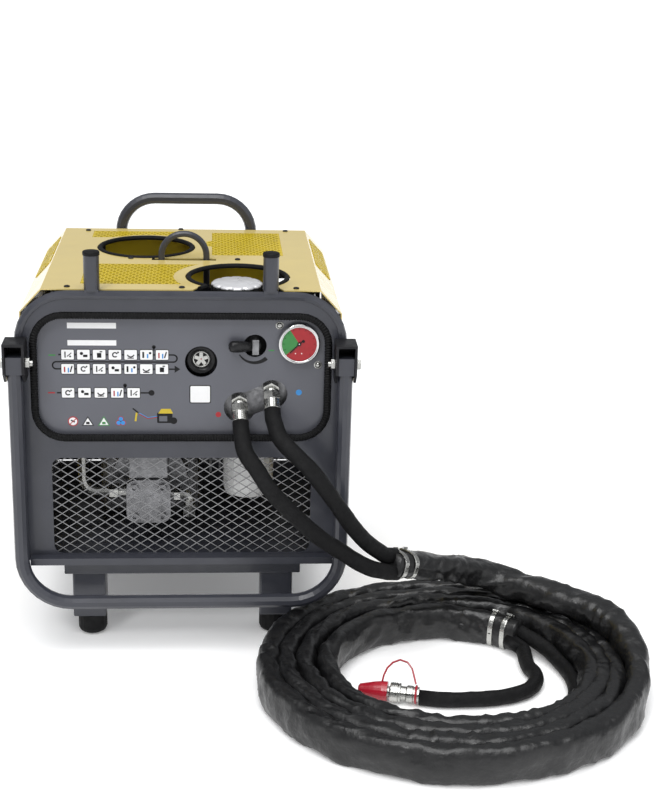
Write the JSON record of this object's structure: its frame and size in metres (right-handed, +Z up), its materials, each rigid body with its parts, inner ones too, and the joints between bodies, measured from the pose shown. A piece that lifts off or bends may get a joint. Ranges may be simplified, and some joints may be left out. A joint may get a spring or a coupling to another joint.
{
  "type": "hydraulic power unit",
  "caption": "Petrol hydraulic power unit on wheels: yellow hood over a grey frame, control panel, folding pull handle, and a twin hose in one sleeve, coiled on the floor.",
  "frame": {"origin": "on the floor, under the middle of the machine's own box, without its hoses", "axes": "+Z up, -Y towards the control panel, +X to the right of someone facing the panel"},
  "size_m": [1.042, 0.9941, 0.6769],
  "materials": {
    "yellow_paint": "gloss",
    "grey_paint": "satin",
    "black_metal": "satin",
    "black_rubber": "matt",
    "black_plastic": "satin",
    "bright_steel": "bright zinc",
    "chrome": "polished",
    "cast_aluminium": "as cast",
    "white_paint": "gloss",
    "red_plastic": "satin",
    "tyre": "matt",
    "black_sleeve": "coated cloth"
  },
  "bodies": {
    "machine": {"hood": "yellow_paint", "front_frame": "grey_paint", "control_panel": "grey_paint", "rear_guard": "grey_paint", "rear_handle": "grey_paint", "lifting_frame": "grey_paint", "base_frame": "grey_paint", "front_stand": "grey_paint", "front_grille": "black_metal", "handle_bracket_left": "black_metal", "handle_bracket_right": "black_metal", "recoil_starter": "black_metal", "fuel_tank": "black_metal", "oil_tank": "black_metal", "panel_edge_trim": "black_rubber", "opening_trim_rear": "black_rubber", "opening_trim_front": "black_rubber", "foot_left": "black_rubber", "foot_right": "black_rubber", "pivot_bolt_left": "bright_steel", "pivot_bolt_right": "bright_steel", "axle": "bright_steel", "suction_pipe": "bright_steel", "pump_elbow": "bright_steel", "muffler": "bright_steel", "port_fitting_pressure": "bright_steel", "port_fitting_return": "bright_steel", "oil_sight_glass": "bright_steel", "coupler_body": "bright_steel", "return_coupler": "bright_steel", "pressure_gauge": "chrome", "pump_body": "cast_aluminium", "pump_adaptor": "cast_aluminium", "engine_block": "cast_aluminium", "bell_housing": "cast_aluminium", "filter_head": "cast_aluminium", "manifold_block": "cast_aluminium", "oil_filter": "white_paint", "hose_pressure": "black_sleeve", "hose_return": "black_sleeve", "sleeve_lead": "black_sleeve", "sleeve_coil": "black_sleeve", "sleeve_end": "black_sleeve", "tail_pressure": "black_sleeve", "tail_return": "black_sleeve"},
    "pull_handle": {"pull_handle": "grey_paint"},
    "wheel_left": {"wheel_tyre_left": "tyre", "wheel_hub_left": "grey_paint"},
    "wheel_right": {"wheel_tyre_right": "tyre", "wheel_hub_right": "grey_paint"},
    "crank": {"crankshaft": "bright_steel", "drive_gear": "bright_steel"},
    "driven_gear": {"driven_gear": "bright_steel"},
    "throttle": {"throttle_lever": "black_plastic"},
    "needle": {"gauge_needle": "black_plastic"},
    "fuel_cap": {"fuel_cap": "chrome"},
    "coupler_sleeve": {"coupler_sleeve": "bright_steel"},
    "dust_cap": {"dust_cap": "red_plastic"}
  },
  "joints": [
    {"name": "pull_handle_hinge", "type": "hinge", "parent": "machine", "child": "pull_handle", "pos_m": [0, -0.2695, 0.5015], "axis": [-1, 0, 0], "range_deg": [0, 95], "deforming": ["hose_pressure", "hose_return"]},
    {"name": "wheel_left_spin", "type": "hinge", "parent": "machine", "child": "wheel_left", "pos_m": [-0.2775, 0.1805, 0.105], "axis": [1, 0, 0], "continuous": true},
    {"name": "wheel_right_spin", "type": "hinge", "parent": "machine", "child": "wheel_right", "pos_m": [0.2775, 0.1805, 0.105], "axis": [1, 0, 0], "continuous": true},
    {"name": "crankshaft_spin", "type": "hinge", "parent": "machine", "child": "crank", "pos_m": [-0.058, -0.0395, 0.25], "axis": [0, 1, 0], "continuous": true},
    {"name": "driven_gear_spin", "type": "hinge", "parent": "machine", "child": "driven_gear", "pos_m": [-0.058, -0.1575, 0.218], "axis": [0, 1, 0], "continuous": true},
    {"name": "throttle_lever_turn", "type": "hinge", "parent": "machine", "child": "throttle", "pos_m": [0.1174, -0.2095, 0.5186], "axis": [0, -1, 0], "range_deg": [0, 110]},
    {"name": "gauge_needle_turn", "type": "hinge", "parent": "machine", "child": "needle", "pos_m": [0.1885, -0.2345, 0.5244], "axis": [0, 1, 0], "range_deg": [0, 270]},
    {"name": "fuel_cap_turn", "type": "hinge", "parent": "machine", "child": "fuel_cap", "pos_m": [0.0895, -0.1135, 0.588], "axis": [0, 0, 1], "range_deg": [0, 90]},
    {"name": "coupler_sleeve_slide", "type": "slide", "parent": "machine", "child": "coupler_sleeve", "axis": [0.9702, -0.2421, 0], "range_m": [0, 0.007]},
    {"name": "dust_cap_slide", "type": "slide", "parent": "machine", "child": "dust_cap", "axis": [-0.9702, 0.2421, 0], "range_m": [0, 0.03]}
  ],
  "couplings": [
    {"joint": "driven_gear_spin", "follows": "crankshaft_spin", "ratio": -1}
  ]
}
